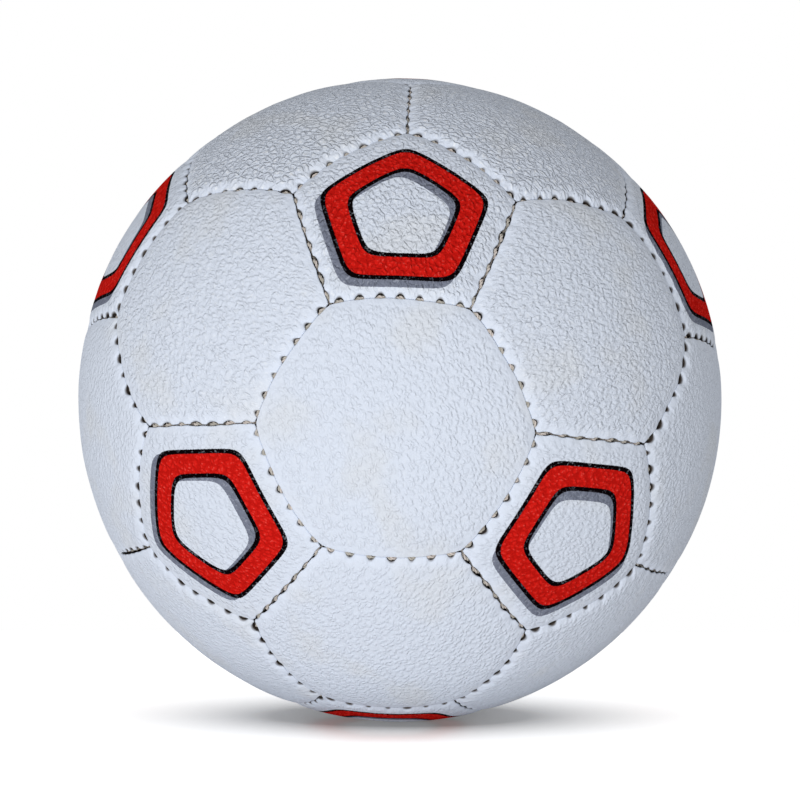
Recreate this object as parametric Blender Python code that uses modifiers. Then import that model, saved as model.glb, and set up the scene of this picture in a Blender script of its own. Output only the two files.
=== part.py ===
# Hand-stitched handball: 12 pentagons and 20 hexagons sewn edge to edge over a rubber bladder with a valve.
# The origin is the ball's centre. A hexagon faces -Y with a pentagon above it, and the valve is at +Y.

import math

import bmesh
import bpy
from mathutils import Matrix, Vector

# Driving dimensions, in metres
BALL_CIRCUMFERENCE = 0.590
COVER_THICKNESS = 0.0018          # coated skin and backing cloth, glued into one sheet
FOLD_RADIUS = 0.0003              # inside radius where a panel's edge turns in
SEAM_ALLOWANCE = 0.0050           # how deep the turned-in edges reach below the ball's surface
THREAD_WIDTH = 0.0006
THREAD_HEIGHT = 0.0009
THREAD_CLEARANCE = 0.0002         # from the thread to the turned-in edge on each side
STITCH_DEPTH = 0.0008             # from the ball's surface to the top of a stitch
STITCH_MARGIN = 0.0008            # turned-in edge left below the lowest thread
BLADDER_WALL = 0.0010
VALVE_HEAD_RADIUS = 0.0040
VALVE_HEAD_RECESS = 0.0008        # from the ball's surface to the valve's outer face
VALVE_FLANGE_RADIUS = 0.0120
VALVE_FLANGE_THICKNESS = 0.0012
VALVE_STEM_RADIUS = 0.0045
VALVE_TAIL_RADIUS = 0.0034
VALVE_LENGTH = 0.0220             # from the outer face to the tip inside the bladder
VALVE_AIR_RADIUS = 0.0007
VALVE_CORE_RADIUS = 0.0022
VALVE_CORE_LENGTH = 0.0120
VALVE_CORE_RECESS = 0.0004        # from the valve's outer face to the core's
NEEDLE_DIMPLE_RADIUS = 0.0012
NEEDLE_DIMPLE_DEPTH = 0.0016
FIT_CLEARANCE = 0.0003            # between pieces that touch

# Counts
STITCHES_PER_SEAM = 7
SIDE_SEGMENTS = 2                 # facets along one side of a panel
VALVE_SIDE_SEGMENTS = 4           # the same on the valve panel, finer so that its hole follows the ball
FOLD_SEGMENTS = 2
BLADDER_RINGS = 10
BLADDER_STEPS = 20
VALVE_STEPS = 16

# Sizes that follow from those above
BALL_RADIUS = BALL_CIRCUMFERENCE / math.tau
SEAM_GAP = THREAD_WIDTH + 2 * THREAD_CLEARANCE
FLANGE_RADIUS = BALL_RADIUS - SEAM_ALLOWANCE
STITCH_TOP = BALL_RADIUS - STITCH_DEPTH
STITCH_ROOT = FLANGE_RADIUS + STITCH_MARGIN + THREAD_HEIGHT
VALVE_FACE = BALL_RADIUS - VALVE_HEAD_RECESS
VALVE_CORE_FACE = VALVE_FACE - VALVE_CORE_RECESS
VALVE_CORE_SEAT = VALVE_CORE_FACE - VALVE_CORE_LENGTH
MERGE_DISTANCE = 0.00001

# Colour, roughness and metallic value of each material
COVER_LOOK = ((0.70, 0.74, 0.83, 1.0), 0.42, 0.0)
THREAD_LOOK = ((0.50, 0.38, 0.30, 1.0), 0.80, 0.0)
BLADDER_LOOK = ((0.035, 0.034, 0.036, 1.0), 0.55, 0.0)
VALVE_LOOK = ((0.020, 0.020, 0.022, 1.0), 0.50, 0.0)
VALVE_CORE_LOOK = ((0.055, 0.052, 0.050, 1.0), 0.60, 0.0)


def clear_scene():
    for obj in list(bpy.data.objects):
        bpy.data.objects.remove(obj, do_unlink=True)


def new_collection(name):
    collection = bpy.data.collections.new(name)
    bpy.context.scene.collection.children.link(collection)
    return collection


def new_material(name, look):
    colour, roughness, metallic = look
    material = bpy.data.materials.new(name)
    material.use_nodes = True
    shader = material.node_tree.nodes["Principled BSDF"]
    shader.inputs["Base Color"].default_value = colour
    shader.inputs["Roughness"].default_value = roughness
    shader.inputs["Metallic"].default_value = metallic
    material.diffuse_color = colour
    return material


def finish_mesh(bm, name):
    mesh = bpy.data.meshes.new(name)
    bm.to_mesh(mesh)
    bm.free()
    mesh.shade_smooth()
    mesh.set_sharp_from_angle(angle=math.radians(40))
    return mesh


def place(name, mesh, material, collection, parent, rotation=None):
    obj = bpy.data.objects.new(name, mesh)
    if not mesh.materials:
        mesh.materials.append(material)
    collection.objects.link(obj)
    obj.parent = parent
    if rotation is not None:
        obj.rotation_euler = rotation.to_euler()
    return obj


def seam_net():
    """Truncated icosahedron on the unit sphere: its faces are the panels, its edges the seams."""
    net = bmesh.new()
    bmesh.ops.create_icosphere(net, subdivisions=1, radius=1.0)
    net.faces.ensure_lookup_table()
    front = net.faces[0].calc_center_median().normalized()
    corner = net.faces[0].verts[0].co
    upward = (corner - front * corner.dot(front)).normalized()
    turn = Matrix((upward.cross(front), -front, upward))
    bmesh.ops.transform(net, matrix=turn.to_4x4(), verts=net.verts)
    bmesh.ops.bevel(net, geom=net.verts[:], affect="VERTICES", offset_type="PERCENT", offset=100 / 3,
                    segments=1, profile=0.5)
    for vert in net.verts:
        vert.co.normalize()
    net.normal_update()
    net.verts.index_update()
    net.edges.index_update()
    return net


def outward(face):
    return face.calc_center_median().normalized()


def front_to_back(face):
    """Sorting key: front panels first, then round the ball from the top."""
    normal = outward(face)
    return round(normal.y, 3), round(math.atan2(normal.x, normal.z), 3)


def panel_turn(face):
    """Rotation from a panel's own frame, with Z outward and a corner towards X, to its place on the ball."""
    normal = outward(face)
    corner = face.verts[0].co
    towards = (corner - normal * corner.dot(normal)).normalized()
    return Matrix((towards, normal.cross(towards), normal)).transposed()


def panel_mesh(name, face, side_segments):
    """Open outer surface of one panel: a spherical cap with its edge turned in along the seams."""
    to_panel = panel_turn(face).inverted()
    corners = [to_panel @ vert.co for vert in face.verts]
    bm = bmesh.new()
    weight = bm.edges.layers.float.new("bevel_weight_edge")
    outline = []
    for i, corner in enumerate(corners):
        ahead = corner.cross(corners[(i + 1) % len(corners)]).normalized()
        behind = corners[i - 1].cross(corner).normalized()
        inward = (ahead + behind).normalized()
        reach = 0.5 * SEAM_GAP / inward.dot(ahead)
        outline.append(bm.verts.new(corner * math.sqrt(BALL_RADIUS ** 2 - reach ** 2) + inward * reach))
    cap = bm.faces.new(outline)
    bmesh.ops.poke(bm, faces=[cap])
    bmesh.ops.subdivide_edges(bm, edges=bm.edges[:], cuts=side_segments - 1, use_grid_fill=True)
    for vert in bm.verts:
        vert.co *= BALL_RADIUS / vert.co.length

    fold = [edge for edge in bm.edges if edge.is_boundary]
    for edge in fold:
        edge[weight] = 1.0
    turned_in = bmesh.ops.extrude_edge_only(bm, edges=fold)["geom"]
    for item in turned_in:
        if isinstance(item, bmesh.types.BMVert):
            item.co *= FLANGE_RADIUS / BALL_RADIUS
        elif isinstance(item, bmesh.types.BMEdge):
            item[weight] = 0.0
    bmesh.ops.recalc_face_normals(bm, faces=bm.faces[:])
    return finish_mesh(bm, name)


def thicken(panel):
    """Rounds the turned edge and gives the sheet its thickness, inward from the outer surface."""
    bevel = panel.modifiers.new("Turned edge", "BEVEL")
    bevel.limit_method = "WEIGHT"
    bevel.width = COVER_THICKNESS + FOLD_RADIUS
    bevel.segments = FOLD_SEGMENTS
    sheet = panel.modifiers.new("Sheet", "SOLIDIFY")
    sheet.thickness = COVER_THICKNESS
    sheet.offset = -1.0
    sheet.use_even_offset = True
    sheet.use_quality_normals = True


def make_panels(net, material, collection, parent):
    """The 32 panels; the hexagon at the back is the valve panel, and is returned."""
    hexagons = sorted((face for face in net.faces if len(face.verts) == 6), key=front_to_back)
    pentagons = sorted((face for face in net.faces if len(face.verts) == 5), key=front_to_back)
    valve_face = hexagons.pop()
    hexagon = panel_mesh("hexagon_panel", hexagons[0], SIDE_SEGMENTS)
    pentagon = panel_mesh("pentagon_panel", pentagons[0], SIDE_SEGMENTS)
    pierced = panel_mesh("valve_panel", valve_face, VALVE_SIDE_SEGMENTS)
    for mesh, faces in ((hexagon, hexagons), (pentagon, pentagons)):
        for number, face in enumerate(faces, start=1):
            name = f"{mesh.name}_{number:02d}"
            thicken(place(name, mesh, material, collection, parent, panel_turn(face)))
    valve_panel = place("valve_panel", pierced, material, collection, parent, panel_turn(valve_face))
    thicken(valve_panel)
    return valve_panel


def cut_valve_hole(valve_panel, cutters):
    """Round hole through the middle of the valve panel, for the valve's head."""
    bm = bmesh.new()
    radius = VALVE_HEAD_RADIUS + FIT_CLEARANCE
    bmesh.ops.create_cone(bm, cap_ends=True, segments=VALVE_STEPS, radius1=radius, radius2=radius,
                          depth=2 * SEAM_ALLOWANCE)
    bmesh.ops.translate(bm, verts=bm.verts, vec=(0, 0, BALL_RADIUS))
    cutter = bpy.data.objects.new("valve_hole_cutter", finish_mesh(bm, "valve_hole_cutter"))
    cutter.display_type = "WIRE"
    cutter.hide_render = True
    cutter.rotation_euler = valve_panel.rotation_euler
    cutters.objects.link(cutter)
    hole = valve_panel.modifiers.new("Valve hole", "BOOLEAN")
    hole.operation = "DIFFERENCE"
    hole.object = cutter
    shading = valve_panel.modifiers.new("Even shading", "WEIGHTED_NORMAL")
    shading.keep_sharp = True


def runs_in_turn(corner, seams):
    """The sewn seams that meet at a corner, each with its angle, anticlockwise as seen from outside."""
    ahead = corner.co.orthogonal().normalized()
    aside = corner.co.cross(ahead)
    runs = []
    for seam in corner.link_edges:
        if seam in seams:
            along = seam.other_vert(corner).co
            runs.append((math.atan2(along.dot(aside), along.dot(ahead)), seam))
    return sorted(runs, key=lambda run: run[0]), ahead, aside


def thread_section(bm, direction, left, radius):
    """Left, right and lower points of the thread's section on a ray from the ball's centre."""
    side = left * (THREAD_WIDTH / 2)
    top = direction * radius
    return [bm.verts.new(top + side), bm.verts.new(top - side), bm.verts.new(top - direction * THREAD_HEIGHT)]


def sew_corner(bm, corner, seams):
    """Joins the threads that meet at a corner; returns each seam's first section, seen along the seam."""
    runs, ahead, aside = runs_in_turn(corner, seams)
    if len(runs) == 1:
        seam = runs[0][1]
        left = corner.co.cross(seam.other_vert(corner).co).normalized()
        stop = Matrix.Rotation((THREAD_WIDTH + FIT_CLEARANCE) / STITCH_ROOT, 3, left) @ corner.co
        section = thread_section(bm, stop, left, STITCH_ROOT)
        bm.faces.new((section[0], section[2], section[1]))
        return {seam: section}

    between = []
    for i, (angle, seam) in enumerate(runs):
        half = ((runs[(i + 1) % len(runs)][0] - angle) % math.tau) / 2
        aim = ahead * math.cos(angle + half) + aside * math.sin(angle + half)
        between.append(bm.verts.new(corner.co * STITCH_ROOT + aim * (THREAD_WIDTH / 2 / math.sin(half))))
    lower = bm.verts.new(corner.co * (STITCH_ROOT - THREAD_HEIGHT))
    if len(runs) > 2:
        bm.faces.new(between)
    return {seam: [between[i], between[i - 1], lower] for i, (angle, seam) in enumerate(runs)}


def thread_mesh(name, seams):
    """One unbroken thread: a wave along each seam, down at the corners and up at each stitch."""
    bm = bmesh.new()
    corners = sorted({vert for seam in seams for vert in seam.verts}, key=lambda vert: vert.index)
    sewn = {corner: sew_corner(bm, corner, seams) for corner in corners}
    half_stitches = 2 * STITCHES_PER_SEAM
    for seam in sorted(seams, key=lambda edge: edge.index):
        start, end = seam.verts
        left = start.co.cross(end.co).normalized()
        sweep = start.co.angle(end.co)
        sections = [sewn[start][seam]]
        for step in range(1, half_stitches):
            direction = Matrix.Rotation(sweep * step / half_stitches, 3, left) @ start.co
            sections.append(thread_section(bm, direction, left, STITCH_TOP if step % 2 else STITCH_ROOT))
        last = sewn[end][seam]
        sections.append([last[1], last[0], last[2]])
        for near, far in zip(sections, sections[1:]):
            bm.faces.new((near[0], near[1], far[1], far[0]))
            bm.faces.new((near[0], far[0], far[2], near[2]))
            bm.faces.new((near[1], near[2], far[2], far[1]))
    return finish_mesh(bm, name)


def make_threads(net, material, collection, parent):
    """The cover is sewn as two halves of 16 panels, which a third thread then closes."""
    pole = max((outward(face) for face in net.faces if len(face.verts) == 5), key=lambda normal: normal.z)
    seams = {"upper_half_thread": set(), "lower_half_thread": set(), "closing_thread": set()}
    for seam in net.edges:
        upper_panels = sum(outward(face).dot(pole) > 0 for face in seam.link_faces)
        half = ("lower_half_thread", "closing_thread", "upper_half_thread")[upper_panels]
        seams[half].add(seam)
    for name, group in seams.items():
        place(name, thread_mesh(name, group), material, collection, parent)


def turned_mesh(name, profile, closed):
    """Profile of (radius, height) points, as a chain of edges for a Screw modifier."""
    bm = bmesh.new()
    verts = [bm.verts.new((radius, 0, height)) for radius, height in profile]
    for first, second in zip(verts, verts[1:]):
        bm.edges.new((first, second))
    if closed:
        bm.edges.new((verts[-1], verts[0]))
    return finish_mesh(bm, name)


def turn(obj, steps):
    screw = obj.modifiers.new("Turned", "SCREW")
    screw.steps = steps
    screw.render_steps = steps
    screw.use_merge_vertices = True
    screw.merge_threshold = MERGE_DISTANCE
    screw.use_normal_calculate = False
    screw.use_smooth_shade = True


def height_on(radius, out):
    """Height, on a sphere of that radius, of a point this far out from the valve's axis."""
    return math.sqrt(radius ** 2 - out ** 2)


def bladder_radius():
    """The bladder just clears the turned-in edges, whose straight facets dip below FLANGE_RADIUS."""
    icosahedron_edge = math.acos(1 / math.sqrt(5))
    third = Vector((2 + math.cos(icosahedron_edge), math.sin(icosahedron_edge)))
    side = icosahedron_edge - 2 * math.atan2(third.y, third.x)
    return FLANGE_RADIUS * math.cos(side / (2 * SIDE_SEGMENTS)) - FIT_CLEARANCE


def make_bladder(rotation, material, collection, parent):
    outer = bladder_radius()
    inner = outer - BLADDER_WALL
    hole = VALVE_STEM_RADIUS + FIT_CLEARANCE
    profile = []
    for radius, downward in ((inner, False), (outer, True)):
        rim = math.asin(hole / radius)
        arc = []
        for ring in range(BLADDER_RINGS):
            angle = rim + (math.pi - rim) * ring / BLADDER_RINGS
            arc.append((radius * math.sin(angle), radius * math.cos(angle)))
        arc.append((0, -radius))
        profile += arc if downward else arc[::-1]
    bladder = place("bladder", turned_mesh("bladder", profile, False), material, collection, parent, rotation)
    turn(bladder, BLADDER_STEPS)


def make_valve_body(rotation, material, collection, parent):
    """Head, flange bonded to the bladder, stem and tapered tail, with a stepped bore for the core."""
    seat = bladder_radius() + FIT_CLEARANCE
    crown = seat + VALVE_FLANGE_THICKNESS
    tip = VALVE_FACE - VALVE_LENGTH
    stem_end = height_on(bladder_radius() - BLADDER_WALL, VALVE_STEM_RADIUS) - VALVE_FLANGE_THICKNESS
    bore = VALVE_CORE_RADIUS + FIT_CLEARANCE
    ledge = VALVE_CORE_SEAT - FIT_CLEARANCE
    profile = [
        (bore, VALVE_FACE),
        (VALVE_HEAD_RADIUS, VALVE_FACE),
        (VALVE_HEAD_RADIUS, height_on(crown, VALVE_HEAD_RADIUS)),
        (VALVE_FLANGE_RADIUS, height_on(crown, VALVE_FLANGE_RADIUS)),
        (VALVE_FLANGE_RADIUS, height_on(seat, VALVE_FLANGE_RADIUS)),
        (VALVE_STEM_RADIUS, height_on(seat, VALVE_STEM_RADIUS)),
        (VALVE_STEM_RADIUS, stem_end),
        (VALVE_TAIL_RADIUS, tip),
        (VALVE_AIR_RADIUS, tip),
        (VALVE_AIR_RADIUS, ledge),
        (bore, ledge),
    ]
    body = place("valve_body", turned_mesh("valve_body", profile, True), material, collection, parent, rotation)
    turn(body, VALVE_STEPS)


def make_valve_core(rotation, material, collection, parent):
    """Rubber plug in the valve's bore, with a dimple that leads the pump needle in."""
    profile = [
        (0, VALVE_CORE_FACE - NEEDLE_DIMPLE_DEPTH),
        (NEEDLE_DIMPLE_RADIUS, VALVE_CORE_FACE),
        (VALVE_CORE_RADIUS, VALVE_CORE_FACE),
        (VALVE_CORE_RADIUS, VALVE_CORE_SEAT),
        (0, VALVE_CORE_SEAT),
    ]
    core = place("valve_core", turned_mesh("valve_core", profile, False), material, collection, parent, rotation)
    turn(core, VALVE_STEPS)


def build_ball():
    clear_scene()
    ball = new_collection("handball")
    cutters = new_collection("cutters")
    centre = bpy.data.objects.new("ball_centre", None)
    ball.objects.link(centre)
    net = seam_net()

    valve_panel = make_panels(net, new_material("cover", COVER_LOOK), ball, centre)
    cut_valve_hole(valve_panel, cutters)
    make_threads(net, new_material("thread", THREAD_LOOK), ball, centre)

    to_valve = Matrix.Rotation(-math.pi / 2, 3, "X")
    make_bladder(to_valve, new_material("bladder", BLADDER_LOOK), ball, centre)
    make_valve_body(to_valve, new_material("valve", VALVE_LOOK), ball, centre)
    make_valve_core(to_valve, new_material("valve_core", VALVE_CORE_LOOK), ball, centre)
    net.free()


build_ball()
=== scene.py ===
# Handball: stitched leather panels, sewing thread, bladder and valve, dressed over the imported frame.

import math

import bpy
import numpy as np
from mathutils import Matrix, Vector


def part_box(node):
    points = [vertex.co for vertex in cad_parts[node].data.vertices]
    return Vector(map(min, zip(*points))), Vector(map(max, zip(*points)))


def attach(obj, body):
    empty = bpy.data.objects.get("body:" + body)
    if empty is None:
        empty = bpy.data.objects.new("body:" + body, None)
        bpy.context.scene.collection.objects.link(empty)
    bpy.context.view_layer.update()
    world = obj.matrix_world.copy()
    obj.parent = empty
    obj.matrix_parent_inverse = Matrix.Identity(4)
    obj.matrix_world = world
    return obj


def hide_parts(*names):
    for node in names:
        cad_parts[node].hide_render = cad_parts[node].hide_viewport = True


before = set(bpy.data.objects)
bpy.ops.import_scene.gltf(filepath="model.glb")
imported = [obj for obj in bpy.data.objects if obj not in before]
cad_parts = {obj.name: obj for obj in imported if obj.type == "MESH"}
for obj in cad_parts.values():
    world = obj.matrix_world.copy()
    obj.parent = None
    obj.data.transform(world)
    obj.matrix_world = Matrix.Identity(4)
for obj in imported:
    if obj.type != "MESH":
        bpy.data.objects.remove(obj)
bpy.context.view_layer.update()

mm = 0.001  # meshes are worked out in millimetres and scaled once


# The ball's layout, read from the frame

sewing = {
    "stitches": 7,  # on each seam
    "placeJitter": 0.14,  # mm along the seam
    "sizeJitter": 0.32,
    "leanJitter": 0.9,  # to either side, on a seam that points to the front
    "narrow": 0.42,  # how much longer and narrower the stitches are on a seam that points to the front
    "gap": 0.20,  # mm more on each side of a seam that points to the front
    "gapRange": (0.5, 1.7),  # times that, by chance
    "gapReach": 2.0,  # mm into the panels
    "bow": 1.4,  # mm that the middle of a seam is pushed out
    "bowFrom": 0.3,  # of the radius, forward or back of the ball's middle: full bow beyond it
    "wander": 0.10,  # mm that a seam strays from a smooth line
    "strayReach": 7.0,  # mm into the panels that the bow and the wander are felt
    "pullJitter": 0.4,  # how tight a seam is, by chance
    "topPull": 0.8,  # and more towards the top
    "mostBeside": 0.5,  # cap on a seam's place: 0 at the front and round the valve, 1 half way between
    "deepJitter": 0.25,
    "sunk": 1.6,  # mm that the thread lies deeper in a deep seam
    "seed": 23,
}


def unit(vector):
    return vector / np.linalg.norm(vector)


def polar(angle, azimuth):
    return np.stack([np.sin(angle) * np.cos(azimuth), np.sin(angle) * np.sin(azimuth),
                     np.cos(angle) * np.ones_like(azimuth)], axis=-1)


def nodePoints(name):
    return np.array([vertex.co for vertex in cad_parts[name].data.vertices]) / mm


panelNames = [name for name in sorted(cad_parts) if "panel" in name]
pentagonFacings = {name: unit(nodePoints(name).mean(axis=0)) for name in panelNames if "pentagon" in name}
ballRadius = max(np.linalg.norm(nodePoints(name), axis=1).max() for name in panelNames)


def layPanel(name):  # the panel's own axes: a corner towards X, the outside towards Z
    rough = unit(nodePoints(name).mean(axis=0))
    near = sorted(pentagonFacings.values(), key=lambda facing: -(facing @ rough))
    if name in pentagonFacings:
        corners = [unit(2 * near[0] + other) for other in near[1:6]]
    else:
        corners = [unit(2 * one + other) for one in near[:3] for other in near[:3] if one is not other]
    outward = unit(sum(corners))
    # the highest corner, or the left of two that are as high
    top = max(corners, key=lambda corner: round(corner[2], 3) - 0.01 * corner[0])
    upward = unit(top - outward * (top @ outward))
    sides = len(corners)
    cornerAngle = math.acos(top @ outward)
    return {
        "name": name,
        "sides": sides,
        "turn": np.array([upward, np.cross(outward, upward), outward]),
        "middleAngle": math.atan(math.tan(cornerAngle) * math.cos(math.pi / sides)),  # out to a side's middle
        "halfSide": math.asin(math.sin(cornerAngle) * math.sin(math.pi / sides)),
    }


def sideAxes(panel, side):  # middle of the side, direction along it, direction into the panel
    azimuth = (2 * side + 1) * math.pi / panel["sides"]
    middle = polar(panel["middleAngle"], azimuth)
    along = np.array([-math.sin(azimuth), math.cos(azimuth), 0.0])
    return middle, along, np.cross(middle, along)


def newSeam(middle, along, inward, length):
    dice = np.random.default_rng([sewing["seed"], len(seams)])
    count = sewing["stitches"]
    jitter = sewing["leanJitter"]
    away = unit(np.array([0.0, 1.0, 0.0]) - middle * middle[1])  # over the surface, from front to valve
    across = inward @ away  # 0 where the seam points to the front
    beside = min(1 - abs(middle[1]), sewing["mostBeside"])  # 0 at the front and round the valve
    outward = np.clip(-middle[1] / sewing["bowFrom"], -1, 1) * across  # away from the nearer of these two
    return {
        "middle": middle, "along": along, "inward": inward, "length": length, "panels": [],
        "lean": across + (1 - abs(across)) * dice.uniform(-jitter, jitter),  # ring seams open to the back
        "stitchAt": (np.arange(count) - (count - 1) / 2) * length / count
                    + dice.normal(0, sewing["placeJitter"], count),
        "stitchSize": 1 + dice.uniform(-1, 1, count) * sewing["sizeJitter"],
        "narrow": sewing["narrow"] * (1 - abs(across)),
        "wander": dice.normal(0, sewing["wander"], 3),
        "pull": sewing["pullJitter"] * dice.uniform() ** 3 + sewing["topPull"] * max(middle[2], 0) ** 2,
        "deep": beside + sewing["deepJitter"] * dice.uniform(),
        "bow": sewing["bow"] * (1 + beside) * outward,
        "gap": sewing["gap"] * (1 - across ** 2) * dice.uniform(*sewing["gapRange"]),
    }


def seamFor(panel, side):
    middle, along, inward = (axis @ panel["turn"] for axis in sideAxes(panel, side))
    samePlace = 0.999  # cosine between the middles of two sides that share a seam
    found = [seam for seam in seams if seam["middle"] @ middle > samePlace]
    if not found:
        seams.append(newSeam(middle, along, inward, 2 * panel["halfSide"] * ballRadius))
    seam = found[0] if found else seams[-1]
    seam["panels"].append(panel["name"])
    return seam


seams = []
panels = {name: layPanel(name) for name in panelNames}
for panel in panels.values():
    panel["seams"] = [seamFor(panel, side) for side in range(panel["sides"])]
print(f"layout: {len(panels)} panels, {len(seams)} seams, radius {ballRadius:.2f} mm")


# Shader maths as Python: a wrapped socket adds the nodes that an expression needs

class Flow:
    def __init__(self, tree, socket=None):
        self.tree = tree
        self.socket = socket

    def node(self, kind, settings, sockets, output=0):
        made = self.tree.nodes.new("ShaderNode" + kind)
        for name, value in settings.items():
            setattr(made, name, value)
        for name, value in sockets.items():
            if isinstance(value, Flow):
                self.tree.links.new(value.socket, made.inputs[name])
            else:
                made.inputs[name].default_value = value
        return Flow(self.tree, made.outputs[output])

    def maths(self, operation, *terms):
        return self.node("Math", {"operation": operation}, dict(enumerate(terms)))

    def __add__(self, other):
        return self.maths("ADD", self, other)

    def __sub__(self, other):
        return self.maths("SUBTRACT", self, other)

    def __rsub__(self, other):
        return self.maths("SUBTRACT", other, self)

    def __mul__(self, other):
        return self.maths("MULTIPLY", self, other)

    __radd__ = __add__
    __rmul__ = __mul__

    def rise(self, low, high):  # 0 below low, 1 above high
        return self.node("MapRange", {"interpolation_type": "SMOOTHSTEP"},
                         {"Value": self, "From Min": low, "From Max": high})

    def band(self, low, high, soft):  # 1 between low and high
        return self.rise(low - soft, low + soft) * (1 - self.rise(high - soft, high + soft))

    def spread(self, factors):  # a vector, each part times its factor
        return self.node("VectorMath", {"operation": "MULTIPLY"}, {0: self, 1: factors})

    def plus(self, other):
        return self.node("VectorMath", {"operation": "ADD"}, {0: self, 1: other})

    def noise(self, scale, detail=2.0, dimensions="3D", output=0):
        sockets = {"Vector": self, "Scale": scale, "Detail": detail}
        return self.node("TexNoise", {"noise_dimensions": dimensions}, sockets, output)

    def cells(self, feature):  # one cell to each unit of length
        settings = {"feature": feature, "voronoi_dimensions": "2D"}
        return self.node("TexVoronoi", settings, {"Vector": self, "Scale": 1.0})

    def mix(self, under, over, mask):  # of colours
        under, over = (value if isinstance(value, Flow) else (*value, 1.0) for value in (under, over))
        return self.node("Mix", {"data_type": "RGBA"}, {0: mask, 6: under, 7: over}, 2)

    def attribute(self, name, output="Fac"):
        return self.node("Attribute", {"attribute_name": name}, {}, output)

    def bump(self, height, distance, below=None):
        sockets = {"Height": height, "Distance": distance, "Strength": 1.0}
        if below:
            sockets["Normal"] = below
        return self.node("Bump", {}, sockets)


def newMaterial(name, fixed):  # fixed: values that are the same all over the surface
    material = bpy.data.materials.new(name)
    material.use_nodes = True
    shader = material.node_tree.nodes["Principled BSDF"]
    for socket, value in fixed.items():
        shader.inputs[socket].default_value = value
    return material, Flow(material.node_tree), shader


def wire(material, shader, links):
    for name, flow in links.items():
        material.node_tree.links.new(flow.socket, shader.inputs[name])
    return material


# Leather of the panels, with the printed ring on the pentagons

leather = {
    "white": (0.722, 0.782, 0.894),
    "warm": (0.722, 0.757, 0.812),
    # painted shade in the grain's grooves
    "grooveShade": (0.560, 0.600, 0.670),
    "grainHighlight": (0.930, 0.955, 0.985),  # painted highlight on the tops of a deep grain
    "cutEdgeAndSeamShade": (0.075, 0.062, 0.054),  # dark cut of the turned-in edges, and painted shade deep in the seams and round the stitch openings
    "cutEdgeAndSeamShadeFrom": (0.35, 1.10),  # mm down the fold: none at the first, all at the second
    "grain": (0.60, 0.88, 1.0),  # pebbles for each mm: longer one way
    "grainHeight": 0.26 * mm,  # times the panel's own depth of grain
    "grainDepth": (0.85, 0.30, 0.85),  # least, more by chance, more towards the top
    "grainShift": 300.0,  # mm, so that no two panels are cut from one place
    "warpScale": 0.40,
    "warp": (1.7, 1.7, 0.0),  # mm that the pebbles stray from an even spread
    "pebble": (0.05, 0.68),  # from its top to its foot, in cells
    "pebbleLoss": 0.5,  # part that the creases of a deep grain take off the pebbles
    "creaseScale": (0.66, 0.66, 1.0),
    "crease": (0.0, 0.27),
    "creaseShare": 0.85,
    "crispFrom": (0.9, 1.8),  # depth of grain at which creases begin to show, and show in full
    "inkedCrisp": 0.65,  # part of the creases that ink leaves open
    "fineScale": 1.5,
    "fineShare": 0.5,
    "calmReach": (0.6, 3.6),  # mm from a seam: the pulled edges are smoother
    "calmGrain": 0.25,  # part of the grain that is left there
    "waveScale": 0.16,
    "waveHeight": 0.25 * mm,
    "pullScale": 0.80,
    "pullHeight": 0.11 * mm,  # wrinkles that run in from the seams
    "pullStretch": 0.16,
    "pullReach": (0.5, 8.0),
    "tintScale": 0.045,  # of the warm patches
    "tintFrom": (0.50, 0.75),
    "tintShare": 0.7,
    "grooveShadeShare": 0.25,
    "grainHighlightTop": (0.16, 0.42),
    "grainHighlightFine": (0.42, 0.62),
    "grainHighlightShare": 0.7,
    "roughness": 0.52,
    "fineRough": 0.16,
    "pebbleGloss": 0.06,
    "inkGloss": 0.14,
    "shine": 0.0,
}

printRing = {
    "red": (0.700, 0.0140, 0.0095),
    "redHighlight": (0.830, 0.0800, 0.0640),  # painted highlight on the tops of the grain
    "redGrooveShade": (0.430, 0.0060, 0.0040),  # painted shade in the grooves of the grain
    "black": (0.0034, 0.0017, 0.0025),
    "grey": (0.195, 0.215, 0.280),
    "inset": (6.4, 14.2),  # mm from the seams to the ring's outer and inner edge
    "line": 1.2,
    "shadowShift": (-2.1, 1.5),  # mm, down and to the left
    "cornerRadius": 1.6,
    "soft": 0.07,
    "bleedScale": 2.4,
    "bleed": 0.22,  # mm from side to side that the ink's edge strays
    "wornScale": 1.9,
    "wornFrom": (0.22, 0.34),
    "wornShare": 0.20,
    "redHighlightFrom": (0.40, 0.70),
    "redHighlightShare": 0.9,
    "redGrooveShadeFrom": (0.15, 0.55),
    "redGrooveShadeShare": 0.7,
}


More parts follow.
